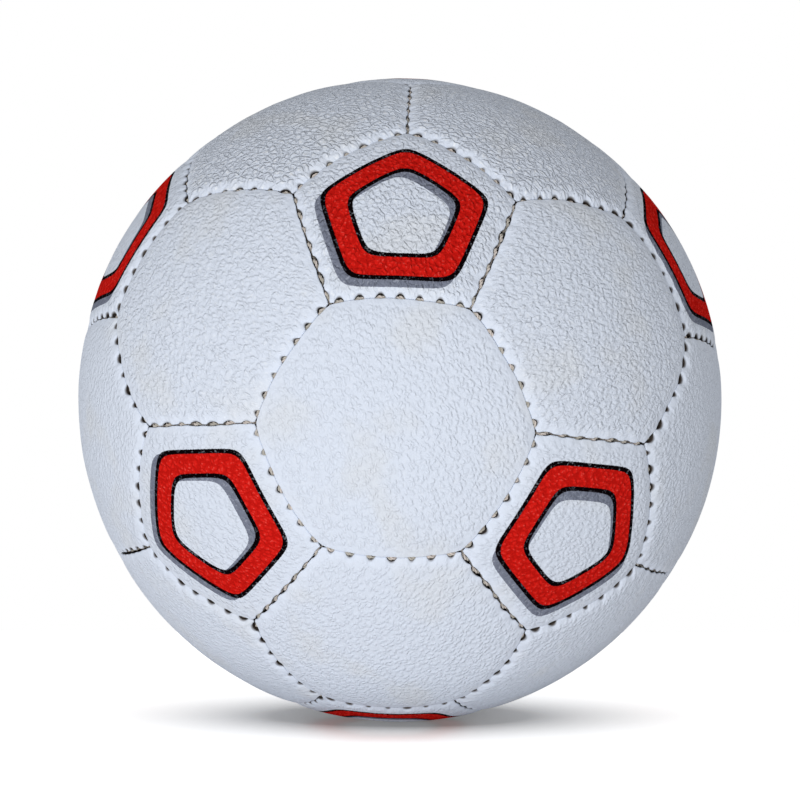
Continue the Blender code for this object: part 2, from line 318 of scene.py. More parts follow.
def makeLeather(name, printed):
    material, start, shader = newMaterial(name, {"Specular IOR Level": leather["shine"]})
    place = start.attribute("grainPlace", "Vector")
    depth = start.attribute("seamDepth")
    drop = start.attribute("foldDropAndShade")

    stray = place.noise(leather["warpScale"], 2.0, "2D", "Color").plus((-0.5, -0.5, -0.5))
    pebbles = place.plus(stray.spread(leather["warp"])).spread(leather["grain"])
    pebble = 1 - pebbles.cells("F1").rise(*leather["pebble"])
    edge = pebbles.spread(leather["creaseScale"]).cells("DISTANCE_TO_EDGE")
    crease = edge.rise(*leather["crease"])
    bold = start.attribute("grainDepth")
    crisp = bold.rise(*leather["crispFrom"]) * (leather["inkedCrisp"] if printed else 1.0)
    fine = place.noise(leather["fineScale"], 3.0, "2D")
    calm = depth.rise(*leather["calmReach"])
    least = leather["calmGrain"]
    relief = pebble * (1 - crisp * leather["pebbleLoss"]) + crease * crisp * leather["creaseShare"]
    grain = (relief + fine * leather["fineShare"]) * (least + calm * (1 - least)) * bold

    wave = place.noise(leather["waveScale"], 2.0, "2D")
    pull = start.attribute("pullPlace", "Vector").noise(leather["pullScale"], 2.0)
    pull = pull * (1 - depth.rise(*leather["pullReach"]))
    normal = start.bump(wave, leather["waveHeight"])
    normal = start.bump(pull, leather["pullHeight"], normal)
    normal = start.bump(grain, leather["grainHeight"], normal)

    tint = place.noise(leather["tintScale"], 3.0, "2D").rise(*leather["tintFrom"]) * leather["tintShare"]
    skin = start.mix(leather["white"], leather["warm"], tint)
    # painted shade: the grain's grooves darker, away from the seams
    skin = start.mix(skin, leather["grooveShade"], (1 - pebble) * fine * calm * leather["grooveShadeShare"])
    # painted highlight: the tops of a deep grain lighter, as gloss would show them
    grainHighlight = edge.rise(*leather["grainHighlightTop"]) * fine.rise(*leather["grainHighlightFine"]) * crisp
    skin = start.mix(skin, leather["grainHighlight"], grainHighlight * leather["grainHighlightShare"])
    roughness = leather["roughness"] + fine * leather["fineRough"] - pebble * leather["pebbleGloss"]

    if printed:
        bleed = (place.noise(printRing["bleedScale"], 2.0, "2D") - 0.5) * printRing["bleed"]
        soft = printRing["soft"]
        line = printRing["line"]
        outer, inner = printRing["inset"]
        ring = start.attribute("ringDepth") + bleed
        cast = start.attribute("shadowDepth") + bleed
        inked = ring.band(outer, inner, soft)
        filled = ring.band(outer + line, inner - line, soft)
        greyed = cast.band(outer, inner, soft)
        groove = (1 - pebble) * fine
        thin = (groove * place.noise(printRing["wornScale"], 2.0, "2D")).rise(*printRing["wornFrom"])
        laid = 1 - thin * printRing["wornShare"]  # less in the thin spots of the ink
        # painted highlight: the ink paler on the tops of the grain
        inkHighlight = (pebble * fine).rise(*printRing["redHighlightFrom"]) * printRing["redHighlightShare"]
        ink = start.mix(printRing["red"], printRing["redHighlight"], inkHighlight)
        # painted shade: the ink darker in the grooves of the grain
        deep = groove.rise(*printRing["redGrooveShadeFrom"]) * printRing["redGrooveShadeShare"]
        ink = start.mix(ink, printRing["redGrooveShade"], deep)
        skin = start.mix(skin, printRing["grey"], greyed * laid)
        skin = start.mix(skin, printRing["black"], inked * laid)
        skin = start.mix(skin, ink, filled)
        roughness = roughness - inked * leather["inkGloss"]

    # dark cut edge and painted shade, down the fold and round the stitch openings
    skin = start.mix(skin, leather["cutEdgeAndSeamShade"], drop.rise(*leather["cutEdgeAndSeamShadeFrom"]))
    return wire(material, shader, {"Base Color": skin, "Roughness": roughness, "Normal": normal})


# Valve, in mm; its length and bore come from the frame

valveShape = {
    "head": 4.0,
    "stem": 4.5,
    "stemEnd": 85.83,  # from the ball's centre
    "tail": 3.4,
    "air": 0.7,
    "flangeThickness": 1.2,
    "dimple": 1.2,
    "dimpleDepth": 1.6,
    "needle": 0.4,
    "needleDepth": 5.0,
    "clearance": 0.3,
    "soften": 0.25,  # rounding of the edges
    "softenMost": 0.3,  # of the shorter line at a corner
}


# Panels: a crowned cap whose edge folds in along the seams, opened at each stitch

panelShape = {
    "columns": 112,  # along one side, at the seam
    "growth": 1.22,  # from one ring to the next, going in
    "crownReach": 0.93,  # of the way to the middle, where the rings end
    "foldRadius": 0.42,
    "foldSteps": 5,
    "halfGap": 0.03,
    "threadRoom": 0.62,  # half gap between the turned-in edges, where the thread runs
    "flangeSteps": (0.3, 0.7, 1.2, 1.8),  # mm below the fold
    "flangeOpens": 1.2,  # mm below the fold, where the gap has opened to the thread's room
    "sheet": 1.8,
    "turnedIn": 5.0,
    "liningRise": 0.6,  # of the turned-in depth, where the lining leaves the edge
    "liningSlope": 2.5,
    "holeLip": 0.5,  # rounding of the valve's hole
    "lipPoints": 5,
    "holeRings": (1.6, 2.5),  # times the hole's radius
    "holeRoom": 4.0,  # the same, where the panel's own rings end
    "holeBack": 1.5,
    "pillow": 0.62,  # drop of the surface towards the seam
    "pillowReach": 2.0,
    "tightPillow": 1.2,  # how much deeper a tight seam lies
    "seamReach": 14.0,  # mm that a seam's pull is felt
    "tuck": 0.20,  # drop of an edge under its neighbour's
    "tuckReach": 1.6,
    "cornerDip": 0.35,
    "cornerDipReach": 2.6,
    "cornerGap": 0.30,
    "cornerGapReach": 1.2,
    "uneven": 0.07,
    "unevenWaves": 5,
    "unevenScale": 0.16,
}

eye = {
    "halfLength": 1.12,  # of the opening at a stitch, along the seam
    "reach": 0.56,  # across, into each panel
    "leanReach": 0.50,  # more on the side that the stitch leans to, less on the other
    "slant": 0.55,
    "dip": 0.22,
    "dipLength": 1.7,
    "dipReach": 2.4,
    "roundness": 0.6,
    "pushReach": 3.0,  # mm into the panel that an opening is felt
    "pushFall": 1.6,
    "rimShade": 0.70,  # mm by which the rim of an opening darkens sooner: painted shade
    "leastShade": 0.4,  # part of it on the side that the stitch leans away from
    "deepReach": 0.2,  # this and the next two: part more in a deep seam
    "deepLength": 0.3,
    "deepShade": 0.75,
    "closesAt": 3.4,  # mm down the turned-in edge
    "closesOver": 1.6,
}


def pillow(inset):
    return panelShape["pillow"] * np.exp(-inset / panelShape["pillowReach"])


def ringPlan(panel, holeRadius):
    # a ring: columns on one side, mm in from the seam, height, and True where it is mm out from the middle
    shape = panelShape
    inset = edge = shape["halfGap"] + shape["foldRadius"]
    reach = ballRadius * panel["middleAngle"]
    crownEnd = reach - shape["holeRoom"] * holeRadius if holeRadius else shape["crownReach"] * reach
    crown = []
    while inset < crownEnd:
        halvings = max(0, int(math.log2(inset)) - 1)  # from 4 mm in, and at each doubling
        crown.append((shape["columns"] >> halvings, inset, -pillow(inset), False))
        inset *= shape["growth"]
    crown.reverse()
    fold = []
    for angle in np.linspace(0, math.pi / 2, shape["foldSteps"] + 1)[1:]:
        place = edge - shape["foldRadius"] * math.sin(angle)
        drop = shape["foldRadius"] * (1 - math.cos(angle))
        fold.append((shape["columns"], place, -pillow(edge) - drop, False))
    room = shape["threadRoom"]
    foldEnd = -fold[-1][2]
    opens = foldEnd + shape["flangeOpens"]
    flange = []
    for depth in (*(foldEnd + step for step in shape["flangeSteps"]), shape["turnedIn"]):
        opened = np.interp(depth, (foldEnd, opens), (shape["halfGap"], room))
        flange.append((shape["columns"], opened, -depth, False))
    back = room + shape["sheet"]
    lining = [(shape["columns"] // 2, back, -shape["turnedIn"], False),
              (shape["columns"] // 4, back, -shape["turnedIn"] * shape["liningRise"], False),
              (shape["columns"] // 8, back + shape["liningSlope"], -shape["sheet"], False)]
    if holeRadius:
        columns = crown[0][0]
        lip = []
        for angle in np.linspace(math.pi / 2, 0, shape["lipPoints"]):
            place = holeRadius + shape["holeLip"] * (1 - math.sin(angle))
            lip.append((columns, place, shape["holeLip"] * (math.cos(angle) - 1), True))
        crown = lip + [(columns, holeRadius * times, 0.0, True) for times in shape["holeRings"]] + crown
        lining += [(shape["columns"] // 8, holeRadius * shape["holeBack"], -shape["sheet"], True),
                   (columns, holeRadius, -shape["sheet"], True)]
    else:
        lining.append((shape["columns"] // 16, reach / 2, -shape["sheet"], False))
    return crown + fold + flange, lining


def joinRings(rings, sides, closed):  # quads between rings, with a step where the columns double or halve
    faces = []
    starts = np.cumsum([0] + [sides * ring[0] for ring in rings])
    pairs = list(zip(range(len(rings)), range(1, len(rings))))
    if closed:
        pairs.append((len(rings) - 1, 0))
    for near, far in pairs:
        few, many = sorted((rings[near][0] * sides, rings[far][0] * sides))
        first = starts[near] + np.arange(rings[near][0] * sides)
        second = starts[far] + np.arange(rings[far][0] * sides)
        if few == many:
            faces += np.stack([first, second, np.roll(second, -1), np.roll(first, -1)], 1).tolist()
        elif len(first) == few:
            middle = second[1::2]
            faces += np.stack([first, second[::2], middle], 1).tolist()
            faces += np.stack([first, middle, np.roll(second[::2], -1), np.roll(first, -1)], 1).tolist()
        else:
            middle = first[1::2]
            faces += np.stack([first[::2], second, middle], 1).tolist()
            faces += np.stack([middle, second, np.roll(second, -1), np.roll(first[::2], -1)], 1).tolist()
    if not closed:
        top, base = starts[-1], starts[-1] + 1
        first = np.arange(starts[1])
        last = starts[-2] + np.arange(rings[-1][0] * sides)
        faces += [[top, one, other] for one, other in zip(first, np.roll(first, -1))]
        faces += [[base, other, one] for one, other in zip(last, np.roll(last, -1))]
    return faces


def ringPoints(panel, rings):  # direction, side and ring of each point
    columns = np.concatenate([np.arange(panel["sides"] * ring[0]) for ring in rings])
    count = np.concatenate([np.full(panel["sides"] * ring[0], ring[0]) for ring in rings])
    which = np.concatenate([np.full(panel["sides"] * ring[0], i) for i, ring in enumerate(rings)])
    side = columns // count
    alpha = panel["halfSide"] * (2 * (columns % count) / count - 1)
    middle = panel["middleAngle"]
    off = np.arctan2(np.tan(alpha), math.sin(middle))
    place = np.array([ring[1] for ring in rings])[which]
    fromMiddle = np.array([ring[3] for ring in rings])[which]
    level = math.cos(middle) * np.cos(off)
    lift = math.sin(middle)
    angle = np.arccos(np.sin(place / ballRadius) / np.hypot(lift, level)) - np.arctan2(level, lift)
    angle = np.where(fromMiddle, place / ballRadius, angle)
    azimuth = (2 * side + 1) * math.pi / panel["sides"] + off
    edgeTurn = (2 * side + 1 + alpha / panel["halfSide"]) * math.pi / panel["sides"]
    return angle, azimuth, side, which, edgeTurn


def seamStray(seam, along):  # mm off a true line, into the seam's first panel
    wave = np.pi * np.clip(along / seam["length"], -0.5, 0.5)
    wander = sum(size * np.sin((order + 2) * wave) for order, size in enumerate(seam["wander"]))
    return (seam["bow"] + wander) * np.cos(wave)


def stitchOpening(panel, side, along, inset, height):  # how a seam's stitches push a panel's edge in and down
    seam = panel["seams"][side]
    sign = 1 if seam["panels"][0] == panel["name"] else -1
    lean = sign * seam["lean"]
    here = along * sign
    inner = 1 - np.clip(np.abs(2 * here / seam["length"]), 0, 1) ** 4  # 0 at the corners
    push = sign * seamStray(seam, here) * np.exp(-(inset / sewing["strayReach"]) ** 2)
    push = push + seam["gap"] * inner * np.exp(-(inset / sewing["gapReach"]) ** 2)
    dip = panelShape["tuck"] * max(lean, 0) * inner * np.exp(-inset / panelShape["tuckReach"])
    dip = dip + panelShape["tightPillow"] * seam["pull"] * inner * pillow(inset)
    shift = sign * eye["slant"] * (1 - abs(lean))
    reach = (eye["reach"] + eye["leanReach"] * lean) * (1 - seam["narrow"])
    reach = reach * (1 + eye["deepReach"] * seam["deep"])
    half = eye["halfLength"] * (1 + seam["narrow"]) * (1 + eye["deepLength"] * seam["deep"])
    least = eye["leastShade"]
    rim = eye["rimShade"] * (least + (1 - least) * max(lean, 0)) * (1 + eye["deepShade"] * seam["deep"])
    shut = np.clip((height + eye["closesAt"]) / eye["closesOver"], 0, 1)
    fade = np.exp(-(inset / eye["pushReach"]) ** eye["pushFall"])
    shade = np.zeros(len(here))
    for at, size in zip(seam["stitchAt"], seam["stitchSize"]):
        away = here - at - shift
        opening = np.clip(1 - (away / (half * size)) ** 2, 0, 1) ** eye["roundness"]
        push = push + size * reach * opening * fade * shut
        dip = dip + eye["dip"] * size * np.exp(-(away / eye["dipLength"]) ** 2 - inset / eye["dipReach"])
        shade += rim * opening * np.exp(-inset ** 2)
    return push, dip, shade


bakeLayout = {  # in the texture map of a panel, which is 1 wide
    "coverHalf": 0.485,
    "liningAt": (0.075, 0.925),
    "liningHalf": 0.06,
    "wallFrom": 1.2,  # mm down an edge: from there it is laid flat round the rim, or in the hole
    "wallShare": 0.5,
}


def bakeMap(mesh, azimuth, flat, liningStart):  # seen from outside, with the lining small in a corner
    heading = np.stack([np.cos(azimuth), np.sin(azimuth)], 1)
    outer = 0.5 + bakeLayout["coverHalf"] * flat[:, None] * heading
    lining = bakeLayout["liningAt"] + bakeLayout["liningHalf"] * np.clip(flat, 0, 1)[:, None] * heading
    loops = np.empty(len(mesh.loops), np.int32)
    mesh.loops.foreach_get("vertex_index", loops)
    sizes = np.empty(len(mesh.polygons), np.int32)
    mesh.polygons.foreach_get("loop_total", sizes)
    lowest = np.minimum.reduceat(loops, np.cumsum(sizes) - sizes)
    hidden = np.repeat(lowest >= liningStart, sizes)[:, None]
    places = np.where(hidden, lining[loops], outer[loops])
    mesh.uv_layers.new(name="OFBake").uv.foreach_set("vector", places.astype(np.float32).ravel())


def addAttribute(mesh, name, values):
    kind = "FLOAT_VECTOR" if values.ndim == 2 else "FLOAT"
    layer = mesh.attributes.new(name, kind, "POINT")
    layer.data.foreach_set("vector" if values.ndim == 2 else "value", values.astype(np.float32).ravel())


def smoothLeast(values, radius):  # the least of several distances, rounded where they are alike
    return -radius * np.log(np.exp(-values / radius).sum(axis=0))


def ringDistance(panel, points):
    flat = points / np.linalg.norm(points, axis=1)[:, None]
    inward = [sideAxes(panel, side)[2] for side in range(panel["sides"])]
    distances = np.array([ballRadius * np.arcsin(flat @ axis) for axis in inward])
    return smoothLeast(distances, printRing["cornerRadius"])


def panelMesh(panel, holeRadius=0.0):
    outer, lining = ringPlan(panel, holeRadius)
    rings = outer + lining
    angle, azimuth, side, which, edgeTurn = ringPoints(panel, rings)
    height = np.array([ring[2] for ring in rings])[which]
    direction = polar(angle, azimuth)
    heading = np.stack([np.cos(azimuth), np.sin(azimuth), np.zeros(len(azimuth))], 1)
    outerCount = int((which < len(outer)).sum())
    walls = np.clip(-height - bakeLayout["wallFrom"], 0, None) * bakeLayout["wallShare"]
    flat = angle * ballRadius + np.where(np.array([ring[3] for ring in rings])[which], -walls, walls)
    points = direction * (ballRadius + height)[:, None]
    inset = np.zeros(len(points))
    drop = -height
    dice = np.random.default_rng([sewing["seed"], panelNames.index(panel["name"])])

    for number in range(panel["sides"]):
        middle, tangent, inward = sideAxes(panel, number)
        into = ballRadius * np.arcsin(direction @ inward)
        inset[side == number] = into[side == number]
        near = np.nonzero(into < panelShape["seamReach"])[0]
        along = ballRadius * np.arctan2(direction[near] @ tangent, direction[near] @ middle)
        push, dip, shade = stitchOpening(panel, number, along, into[near], height[near])
        # painted shade round the stitch openings, carried in the fold's drop
        drop[near] += shade
        fromCorner = np.hypot(panel["halfSide"] * ballRadius + along, into[near])
        dip = dip + panelShape["cornerDip"] * np.exp(-(fromCorner / panelShape["cornerDipReach"]) ** 2)
        recede = panelShape["cornerGap"] * np.exp(-(fromCorner / panelShape["cornerGapReach"]) ** 2)
        moved = push[:, None] * inward - dip[:, None] * direction[near]
        points[near] += moved - recede[:, None] * heading[near]

    count = panelShape["unevenWaves"]
    waves = dice.normal(0, panelShape["unevenScale"], (count, 3))
    turns = dice.uniform(0, math.tau, count)
    sway = np.sin(points @ waves.T + turns).sum(axis=1) * panelShape["uneven"] / 2
    points -= direction * (np.abs(sway) * (np.arange(len(points)) < outerCount))[:, None]

    if not holeRadius:
        poles = [[0, 0, ballRadius], [0, 0, ballRadius - panelShape["sheet"]]]
        points = np.vstack([points, poles])
        inset = np.append(inset, [ballRadius * panel["middleAngle"]] * 2)
        flat, azimuth, edgeTurn = (np.append(values, [0, 0]) for values in (flat, azimuth, edgeTurn))
        drop = np.append(drop, [0, panelShape["sheet"]])

    mesh = bpy.data.meshes.new(panel["name"].replace("panel", "leather"))
    inPlace = points @ panel["turn"] * mm
    mesh.from_pydata(inPlace.tolist(), [], joinRings(rings, panel["sides"], bool(holeRadius)))
    mesh.shade_smooth()
    far = leather["grainShift"]
    spin = Matrix.Rotation(dice.uniform(0, math.tau), 3, "Z")
    addAttribute(mesh, "grainPlace", points @ np.array(spin).T + dice.uniform(-far, far, 3))
    least, chance, towardsTop = leather["grainDepth"]
    depth = least + chance * dice.uniform() + towardsTop * max(panel["turn"][2][2], 0)
    addAttribute(mesh, "grainDepth", np.full(len(points), depth))
    addAttribute(mesh, "seamDepth", inset)
    addAttribute(mesh, "foldDropAndShade", drop - pillow(np.maximum(inset, 0)))
    around = panel["sides"] * panel["halfSide"] * ballRadius / math.pi
    pullPlace = [around * np.cos(edgeTurn), around * np.sin(edgeTurn), inset * leather["pullStretch"]]
    addAttribute(mesh, "pullPlace", np.stack(pullPlace, 1) + dice.uniform(-far, far, 3))
    if panel["name"] in pentagonFacings:
        shift = np.array([*printRing["shadowShift"], 0.0])
        addAttribute(mesh, "ringDepth", ringDistance(panel, points))
        addAttribute(mesh, "shadowDepth", ringDistance(panel, points - shift))
    bakeMap(mesh, azimuth, flat / flat[:outerCount].max(), outerCount - outer[-1][0] * panel["sides"])
    return mesh


def addPiece(name, mesh, material, node):
    piece = bpy.data.objects.new(name, mesh)
    bpy.context.scene.collection.objects.link(piece)
    mesh.materials.append(material)
    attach(piece, "root")
    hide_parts(node)
    return piece


def makePanels():
    plain = makeLeather("white_leather", False)
    printed = makeLeather("printed_leather", True)
    faces = 0
    for name, panel in panels.items():
        hole = valveShape["head"] + valveShape["clearance"] if name == "valve_panel" else 0.0
        mesh = panelMesh(panel, hole)
        addPiece(mesh.name, mesh, printed if name in pentagonFacings else plain, name)
        faces += len(mesh.polygons)
    print(f"panels: {len(panels)} made, {faces} faces")


makePanels()


# Sewing thread: two plies twisted together, in a wave that comes up at each stitch

thread = {
    "beige": (0.700, 0.625, 0.575),
    "grey": (0.480, 0.455, 0.400),
    "shadow": (0.250, 0.205, 0.175),
    "toneScale": 0.22,
    "toneFrom": (0.38, 0.62),
    "fibreStretch": (0.6, 5.0, 5.0),  # along the ply, and the two ways across
    "fibreScale": 1.6,
    "fibreFrom": (0.48, 0.75),
    "fibreShare": 0.55,
    "fibreHeight": 0.05 * mm,
    "fibreShift": (61.0, 9.0, 7.0),  # so that no two plies are alike
    "roughness": 0.62,
    "fibreRough": 0.25,
    "shine": 0.3,
    "plyRadius": 0.27,
    "overlap": 1.04,  # times that, so that the two plies press together
    "twist": 2.3,  # mm for one turn of the plies
    "crest": -1.08,  # height of the strand's middle at a stitch
    "fall": 0.62,  # mm lower at the ends of a stitch's opening
    "lowest": -4.0,
    "lean": 0.40,  # mm to the side that a stitch leans to
    "leanReach": 1.7,  # mm from a stitch
    "sides": 7,
    "stepsPerStitch": 16,
    "mapMargin": 0.1,  # of a row of the texture map
}


def makeThreadMaterial():
    material, start, shader = newMaterial("waxed_thread", {"Specular IOR Level": thread["shine"]})
    place = start.attribute("fibrePlace", "Vector")
    fibre = place.spread(thread["fibreStretch"]).noise(thread["fibreScale"], 3.0)
    tone = place.noise(thread["toneScale"], 2.0).rise(*thread["toneFrom"])
    yarn = start.mix(thread["beige"], thread["grey"], tone)
    yarn = start.mix(yarn, thread["shadow"], fibre.rise(*thread["fibreFrom"]) * thread["fibreShare"])
    normal = start.bump(fibre, thread["fibreHeight"])
    roughness = thread["roughness"] + fibre * thread["fibreRough"]
    return wire(material, shader, {"Base Color": yarn, "Roughness": roughness, "Normal": normal})


def strandLine(seam):  # along, across and height of the strand's middle
    steps = sewing["stitches"] * thread["stepsPerStitch"]
    along = np.linspace(-0.5, 0.5, steps + 1)[1:-1] * seam["length"]
    nearest = np.abs(along[:, None] - seam["stitchAt"]).argmin(axis=1)
    away = along - seam["stitchAt"][nearest]
    shown = np.clip(1 - (away / thread["leanReach"]) ** 2, 0, 1)
    crest = thread["crest"] - sewing["sunk"] * seam["deep"]
    height = crest - thread["fall"] * (away / eye["halfLength"]) ** 2
    slant = eye["slant"] * (1 - abs(seam["lean"]))
    across = seamStray(seam, along) + (thread["lean"] * seam["lean"] + slant * away) * shown
    return along, across, np.maximum(height, thread["lowest"])


def plyTube(seam, start):
    along, across, height = strandLine(seam)
    ahead = along / ballRadius
    out = np.cos(ahead)[:, None] * seam["middle"] + np.sin(ahead)[:, None] * seam["along"]
    turned = along * math.tau / thread["twist"] + start
    across = across + thread["plyRadius"] * np.cos(turned)
    height = height + thread["plyRadius"] * np.sin(turned)
    centre = out * (ballRadius + height)[:, None] + across[:, None] * seam["inward"]
    forward = np.gradient(centre, axis=0)
    forward /= np.linalg.norm(forward, axis=1)[:, None]
    aside = np.cross(out, forward)
    aside /= np.linalg.norm(aside, axis=1)[:, None]
    above = np.cross(forward, aside)
    around = np.arange(thread["sides"]) * math.tau / thread["sides"]
    ring = np.cos(around)[None, :, None] * aside[:, None] + np.sin(around)[None, :, None] * above[:, None]
    tube = centre[:, None] + ring * thread["plyRadius"] * thread["overlap"]
    fibre = np.stack(np.broadcast_arrays(along[:, None], np.cos(around), np.sin(around)), axis=2)
    return tube.reshape(-1, 3), fibre.reshape(-1, 3)


def tubeFaces(count, base):
    sides = thread["sides"]
    index = base + np.arange(count * sides).reshape(count, sides)
    near, far = index[:-1], index[1:]
    quads = np.stack([near, np.roll(near, -1, 1), np.roll(far, -1, 1), far], axis=2).reshape(-1, 4).tolist()
    return quads + [index[0][::-1].tolist(), index[-1].tolist()]


def plyMap(count, row, rows):  # a row of the bake picture for each ply, in the order of tubeFaces
    sides = thread["sides"]
    margin = thread["mapMargin"]
    steps = np.arange(count) / (count - 1)
    rounds = (row + margin + (1 - 2 * margin) * np.arange(sides + 1) / sides) / rows
    spots = []
    for i, j in ((0, 0), (0, 1), (1, 1), (1, 0)):
        grid = np.meshgrid(steps[i:count - 1 + i], rounds[j:sides + j], indexing="ij")
        spots.append(np.stack(grid, 2))
    first = np.stack([np.full(sides, 0.0), rounds[:0:-1]], 1)
    last = np.stack([np.full(sides, 1.0), rounds[:-1]], 1)
    return np.vstack([np.stack(spots, 2).reshape(-1, 2), first, last])


def threadMesh(name, group):
    points, fibres, faces, spots = [], [], [], []
    base = 0
    for number, seam in enumerate(group):
        for ply in (0.0, math.pi):
            tube, fibre = plyTube(seam, ply)
            faces += tubeFaces(len(tube) // thread["sides"], base)
            spots.append(plyMap(len(tube) // thread["sides"], len(spots), 2 * len(group)))
            points.append(tube)
            fibres.append(fibre + np.array([number, ply, number]) * thread["fibreShift"])
            base += len(tube)
    mesh = bpy.data.meshes.new(name)
    mesh.from_pydata((np.vstack(points) * mm).tolist(), [], faces)
    mesh.shade_smooth()
    addAttribute(mesh, "fibrePlace", np.vstack(fibres))
    mesh.uv_layers.new(name="OFBake").uv.foreach_set("vector", np.vstack(spots).astype(np.float32).ravel())
    return mesh


def makeThreads():
    material = makeThreadMaterial()
    pole = max(pentagonFacings.values(), key=lambda facing: facing[2])
    groups = {"lower_half_thread": [], "closing_thread": [], "upper_half_thread": []}
    for seam in seams:
        upper = sum(panels[name]["turn"][2] @ pole > 0 for name in seam["panels"])
        groups[list(groups)[upper]].append(seam)
    for node, group in groups.items():
        name = node.replace("thread", "stitching")
        addPiece(name, threadMesh(name, group), material, node)
    print("threads:", {node: len(group) for node, group in groups.items()})


makeThreads()


# Bladder and valve, turned finer than the frame's and with softened edges

rubber = {
    "bladder": ((0.030, 0.029, 0.031), (0.075, 0.072, 0.070), 0.55),  # colour, dusty colour, roughness
    "valve": ((0.018, 0.018, 0.020), (0.050, 0.048, 0.047), 0.48),
    "valve_core": ((0.045, 0.042, 0.040), (0.095, 0.088, 0.080), 0.58),
    "dustScale": 0.35,
    "dustFrom": (0.45, 0.75),
    "dustShare": 0.6,
    "dustRough": 0.2,
    "gritScale": 4.0,
    "gritHeight": 0.02 * mm,
    "shine": 0.4,
    "turnSteps": 96,
    "wallPoints": 49,  # from the hole to the far pole
    "sharpFrom": 50.0,  # degrees
}


def makeRubber(name, look):
    colour, dusty, rough = look
    material, start, shader = newMaterial(name, {"Specular IOR Level": rubber["shine"]})
    place = start.node("TexCoord", {}, {}, "Object").spread((1 / mm, 1 / mm, 1 / mm))
    dust = place.noise(rubber["dustScale"], 4.0)
    grit = place.noise(rubber["gritScale"], 2.0)
    skin = start.mix(colour, dusty, dust.rise(*rubber["dustFrom"]) * rubber["dustShare"])
    normal = start.bump(grit, rubber["gritHeight"])
    roughness = rough + dust * rubber["dustRough"]
    return wire(material, shader, {"Base Color": skin, "Roughness": roughness, "Normal": normal})


def soften(outline, closed):  # each corner cut back and rounded
    rounded = []
    last = len(outline) - 1
    for i, corner in enumerate(outline):
        if not closed and i in (0, last):
            rounded.append(corner)
            continue
        back, ahead = outline[i - 1] - corner, outline[(i + 1) % len(outline)] - corner
        lengths = np.linalg.norm(back), np.linalg.norm(ahead)
        cut = min(valveShape["soften"], valveShape["softenMost"] * min(lengths))
        one, other = corner + back * cut / lengths[0], corner + ahead * cut / lengths[1]
        rounded += [one, (one + other) / 4 + corner / 2, other]
    return rounded


def turnedMesh(name, outline, closed):  # turned about Y, where an open outline starts and ends
    turns = np.arange(rubber["turnSteps"]) * math.tau / rubber["turnSteps"]
    rings = outline if closed else outline[1:-1]
    points = [(out * math.cos(turn), along, out * math.sin(turn)) for out, along in rings for turn in turns]
    index = np.arange(len(points)).reshape(len(rings), len(turns))
    following = np.roll(index, -1, axis=1)
    faces = []
    for near in range(len(rings) if closed else len(rings) - 1):
        far = (near + 1) % len(rings)
        faces += np.stack([index[near], following[near], following[far], index[far]], 1).tolist()
    if not closed:
        start, end = len(points), len(points) + 1
        points += [(0, outline[0][1], 0), (0, outline[-1][1], 0)]
        faces += [(start, other, one) for one, other in zip(index[0].tolist(), following[0].tolist())]
        faces += [(end, one, other) for one, other in zip(index[-1].tolist(), following[-1].tolist())]
    mesh = bpy.data.meshes.new(name)
    mesh.from_pydata((np.array(points) * mm).tolist(), [], faces)
    mesh.shade_smooth()
    mesh.set_sharp_from_angle(angle=math.radians(rubber["sharpFrom"]))
    return mesh


def wallPoint(radius, out):  # a point of a round wall about the ball's centre
    return np.array([out, math.sqrt(radius ** 2 - out ** 2)])


def bladderOutline(outer, inner):  # inner wall from the far pole to the valve's hole, outer wall back
    hole = valveShape["stem"] + valveShape["clearance"]
    outline = []
    for radius, way in ((inner, -1), (outer, 1)):
        angles = np.linspace(math.asin(hole / radius), math.pi, rubber["wallPoints"])[::way]
        outline += [(radius * math.sin(angle), radius * math.cos(angle)) for angle in angles]
    return outline


def valveOutlines(seat):  # stem from its bore over the head and flange to the tip, and the plug in the bore
    shape = valveShape
    low, high = (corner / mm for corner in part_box("valve_body"))
    plugLow, plugHigh = (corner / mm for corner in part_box("valve_core"))
    bore = plugHigh.x + shape["clearance"]
    ledge = plugLow.y - shape["clearance"]
    crown = seat + shape["flangeThickness"]
    stem = [(bore, high.y), (shape["head"], high.y), wallPoint(crown, shape["head"]),
            wallPoint(crown, high.x), wallPoint(seat, high.x), wallPoint(seat, shape["stem"]),
            (shape["stem"], shape["stemEnd"]), (shape["tail"], low.y), (shape["air"], low.y),
            (shape["air"], ledge), (bore, ledge)]
    prick = plugHigh.y - shape["needleDepth"]
    plug = [(0, prick), (shape["needle"], prick), (shape["needle"], plugHigh.y - shape["dimpleDepth"]),
            (shape["dimple"], plugHigh.y), (plugHigh.x, plugHigh.y), (plugHigh.x, plugLow.y), (0, plugLow.y)]
    return [np.array(point) for point in stem], [np.array(point) for point in plug]


def makeInside():
    walls = np.linalg.norm(nodePoints("bladder"), axis=1)
    stem, plug = valveOutlines(walls.max() + valveShape["clearance"])
    meshes = {
        "bladder": turnedMesh("bladder_skin", bladderOutline(walls.max(), walls.min()), False),
        "valve_body": turnedMesh("valve_stem", soften(stem, True), True),
        "valve_core": turnedMesh("valve_plug", soften(plug, False), False),
    }
    for (node, mesh), slot in zip(meshes.items(), ("bladder", "valve", "valve_core")):
        addPiece(mesh.name, mesh, makeRubber(slot + "_rubber", rubber[slot]), node)
    print("inside: bladder, valve stem and valve plug made")


makeInside()


# Floor, light and camera

